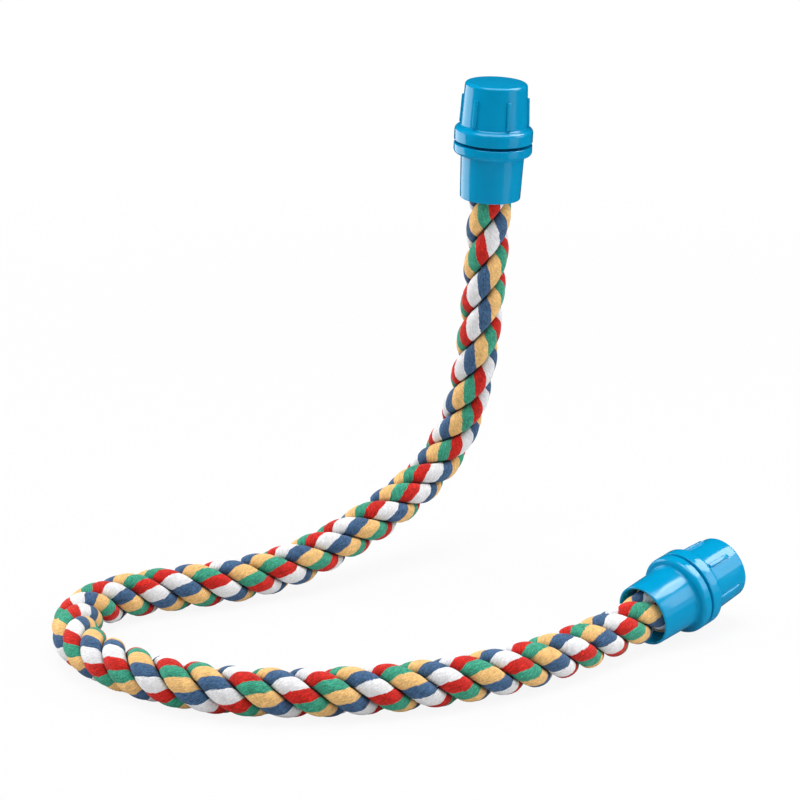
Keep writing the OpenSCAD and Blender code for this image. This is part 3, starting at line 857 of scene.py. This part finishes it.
# %% Where the fibres lie
# lengths, half thicknesses and depths are in mm; lift, lean and curl are shares of the length
FIBRES, FIBRE_SIDES, FIBRE_STEPS = 1500, 3, 4
FIBRE_LENGTH, FIBRE_THICK, FIBRE_LIFT = (0.7, 2.0), (0.02, 0.035), (0.15, 0.6)
FIBRE_LEAN, FIBRE_CURL, FIBRE_TAPER, FIBRE_REACH_DEG = 0.35, 0.5, 0.8, 85
FIBRE_SUNK, TABLE_CLEAR, MOUTH_CLEAR = 0.25, 0.05, 2
rng = np.random.default_rng(11)
fibre_verts, fibre_faces, fibre_uv = [], [], []
surface_rows = np.nonzero((ring_s > MOUTH_CLEAR) & (ring_s < FREE_LENGTH - MOUTH_CLEAR))[0]
turns_of = [yarn_turn(strand) for strand in range(STRANDS)]
for _ in range(FIBRES):
    i = int(rng.choice(surface_rows))
    strand = int(rng.integers(STRANDS))
    alpha = math.radians(rng.uniform(-FIBRE_REACH_DEG, FIBRE_REACH_DEG))
    theta = lay[i] + strand * 2 * math.pi / STRANDS
    out = math.cos(theta) * across[i] + math.sin(theta) * aside[i]
    side = -math.sin(theta) * across[i] + math.cos(theta) * aside[i]
    normal = math.cos(alpha) * out + math.sin(alpha) * side
    root = heart[i] + LOBE_CENTRE * out + (LOBE_R - FIBRE_SUNK) * normal
    tangent = along[i] * rng.choice([-1, 1]) + rng.normal(0, FIBRE_LEAN) * np.cross(along[i], normal)
    tangent /= np.linalg.norm(tangent)
    length = rng.uniform(*FIBRE_LENGTH)
    lift = rng.uniform(*FIBRE_LIFT)
    curl = rng.normal(0, FIBRE_CURL)
    thick = rng.uniform(*FIBRE_THICK)
    u = float(((math.degrees(alpha) - math.degrees(turns_of[strand][i])) / BUNDLE_DEG) % BUNDLES)
    base = len(fibre_verts)
    cross = np.cross(tangent, normal)
    for k in range(FIBRE_STEPS):
        t = k / (FIBRE_STEPS - 1)
        centre = root + length * (t * tangent + lift * t * t * normal + curl * t * t * cross * 0.5)
        for q in range(FIBRE_SIDES):
            a = 2 * math.pi * q / FIBRE_SIDES
            w = thick * (1 - FIBRE_TAPER * t)
            point = centre + w * (math.cos(a) * normal + math.sin(a) * cross)
            point[2] = max(point[2], TABLE_CLEAR)    # a fibre that meets the table lies down on it
            fibre_verts.append(point * MM)
    rows_of = [[base + k * FIBRE_SIDES + q for q in range(FIBRE_SIDES)] for k in range(FIBRE_STEPS)]
    new_faces = [rows_of[0][::-1], rows_of[-1]]
    for k in range(FIBRE_STEPS - 1):
        for q in range(FIBRE_SIDES):
            qn = (q + 1) % FIBRE_SIDES
            new_faces.append([rows_of[k][q], rows_of[k][qn], rows_of[k + 1][qn], rows_of[k + 1][q]])
    for face in new_faces:
        fibre_uv.extend([(u, float(ring_s[i]))] * len(face))
    fibre_faces.extend(new_faces)
print("fibre points:", len(fibre_verts))

# %% The fibres as one piece
fibre_mesh = bpy.data.meshes.new("stray_fibres")
fibre_mesh.from_pydata([tuple(v) for v in fibre_verts], [], fibre_faces)
fibre_layer = fibre_mesh.uv_layers.new(name="yarn")
fibre_layer.data.foreach_set("uv", np.array(fibre_uv).ravel())
# the fibres carry the painted groove shade attribute at zero, so they get no painted shade
fibre_mesh.attributes.new("painted_groove_shade", "FLOAT", "POINT")
fibres = bpy.data.objects.new("stray_fibres", fibre_mesh)
bpy.context.scene.collection.objects.link(fibres)
fibre_mesh.materials.append(cotton)
only(fibres)
bpy.ops.object.mode_set(mode="EDIT")
bpy.ops.mesh.select_all(action="SELECT")
bpy.ops.mesh.normals_make_consistent(inside=False)
bpy.ops.object.mode_set(mode="OBJECT")
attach(fibres, "perch")
print("fibres:", FIBRES, "faces:", len(fibre_mesh.polygons))

# %% [markdown]
# ## Studio
#
# The photograph shows the perch on plain white in broad soft light. The floor is white to the
# camera, but it still takes a faint shadow where the rope touches it. The softboxes only light the
# perch. The cards are only seen in the gloss, where they draw the pale window on the lower fitting,
# the bright lines along the rims and the upright bands of the upper fitting. Kept apart, each can
# be set without changing the other.

# %% Floor
# the plain light of the room, and how dark the room is in the gloss
AIR, MIRRORED_AIR = 0.25, 0.012

deselect_all()
# 0.2 mm below the perch, so that the two never share a plane
bpy.ops.mesh.primitive_plane_add(size=16, location=(0, 3, -0.0002))
bpy.ops.object.transform_apply(location=True, rotation=False, scale=False)
floor = bpy.context.object
floor.name = "studio_floor"


def paper_material():
    m = new_material("white_studio_paper")
    place = add_node(m, "ShaderNodeTexCoord")
    far = add_node(m, "ShaderNodeVectorMath", {0: place.outputs["Object"]}, operation="LENGTH")
    path = add_node(m, "ShaderNodeLightPath")
    # pure white farther off, with a little of the shadow kept near the rope
    burnt = add_node(m, "ShaderNodeMapRange", {0: far.outputs["Value"], 1: 0.2, 2: 0.8, 3: 0.9, 4: 1.0})
    seen = add_node(m, "ShaderNodeMath", {0: path.outputs["Is Camera Ray"], 1: burnt.outputs[0]},
                    operation="MULTIPLY")
    matt = add_node(m, "ShaderNodeBsdfDiffuse", {"Color": (0.7, 0.7, 0.7, 1)})
    white = add_node(m, "ShaderNodeEmission", {"Color": (1, 1, 1, 1), "Strength": 1.0})
    paper = add_node(m, "ShaderNodeMixShader", {
        0: seen.outputs[0], 1: matt.outputs[0], 2: white.outputs[0]})
    # the gloss of the plastic sees the lit paper only near by, and a dark studio farther off
    glow = add_node(m, "ShaderNodeMapRange", {
        0: far.outputs["Value"], 1: 0.12, 2: 0.4, 3: 0.1, 4: MIRRORED_AIR})
    mirrored = add_node(m, "ShaderNodeEmission", {"Color": (1, 1, 1, 1), "Strength": glow.outputs[0]})
    either = add_node(m, "ShaderNodeMixShader", {
        0: path.outputs["Is Glossy Ray"], 1: paper.outputs[0], 2: mirrored.outputs[0]})
    return finish_material(m, either)


floor.data.materials.append(paper_material())

# %% World and lamps
world = bpy.data.worlds.new("studio_air")
world.use_nodes = True
ray = add_node(world, "ShaderNodeLightPath")
room = add_node(world, "ShaderNodeMapRange", {0: ray.outputs["Is Glossy Ray"], 3: AIR, 4: MIRRORED_AIR})
strength = add_node(world, "ShaderNodeMapRange", {
    0: ray.outputs["Is Camera Ray"], 3: room.outputs[0], 4: 1.0})
background = world.node_tree.nodes["Background"]
background.inputs["Color"].default_value = (1, 1, 1, 1)
world.node_tree.links.new(strength.outputs[0], background.inputs["Strength"])
bpy.context.scene.world = world


def soft_lamp(name, place, aim, size, watts, lights=True, mirrors=True):
    """A rectangular softbox; it can light the piece, be seen in its gloss, or both."""
    data = bpy.data.lights.new(name, "AREA")
    data.shape = "RECTANGLE"
    data.size, data.size_y = size
    data.energy = watts
    lamp = bpy.data.objects.new(name, data)
    lamp.location = place
    lamp.rotation_euler = (Vector(aim) - Vector(place)).to_track_quat("-Z", "Y").to_euler()
    lamp.visible_camera = False
    lamp.visible_diffuse, lamp.visible_glossy = lights, mirrors
    bpy.context.scene.collection.objects.link(lamp)


middle = (0, 0, 0.06)
upper_fitting, lower_fitting = (0.03, 0.065, 0.15), (0.1, 0.0, 0.02)
soft_lamp("left_softbox", (-1.6, 0.5, 0.78), middle, (1.25, 1.25), 20.0, mirrors=False)
soft_lamp("right_softbox", (0.84, 0.09, 0.69), middle, (0.6, 0.6), 3.5, mirrors=False)
soft_lamp("front_softbox", (-0.5, -0.6, 1.1), middle, (0.8, 0.8), 4.0, mirrors=False)
soft_lamp("overhead_softbox", (0.0, 0.0, 1.3), middle, (0.8, 0.8), 10.5, mirrors=False)
# a small reflector beside the lower fitting, as the picture is brighter down there
soft_lamp("low_reflector", (0.36, -0.13, 0.12), lower_fitting, (0.2, 0.2), 0.36, mirrors=False)
# these are only seen in the gloss: the crisp window on the lower fitting, its softer lower half,
# the bright line along the rims and the upright bands
soft_lamp("window_card", (0.7, 0.2, 0.92), lower_fitting, (0.64, 0.5), 8.0, lights=False)
soft_lamp("right_glow_card", (0.945, -0.06, 0.47), lower_fitting, (0.5, 0.56), 1.8, lights=False)
soft_lamp("overhead_card", (0.05, -0.2, 1.15), upper_fitting, (1.3, 0.9), 12.5, lights=False)
soft_lamp("left_band_card", (-0.23, 0.215, 0.11), upper_fitting, (0.32, 0.2), 0.5, lights=False)
soft_lamp("right_band_card", (0.29, -0.08, 0.1), upper_fitting, (0.16, 0.2), 0.05, lights=False)
bpy.context.scene.view_settings.view_transform = "Standard"
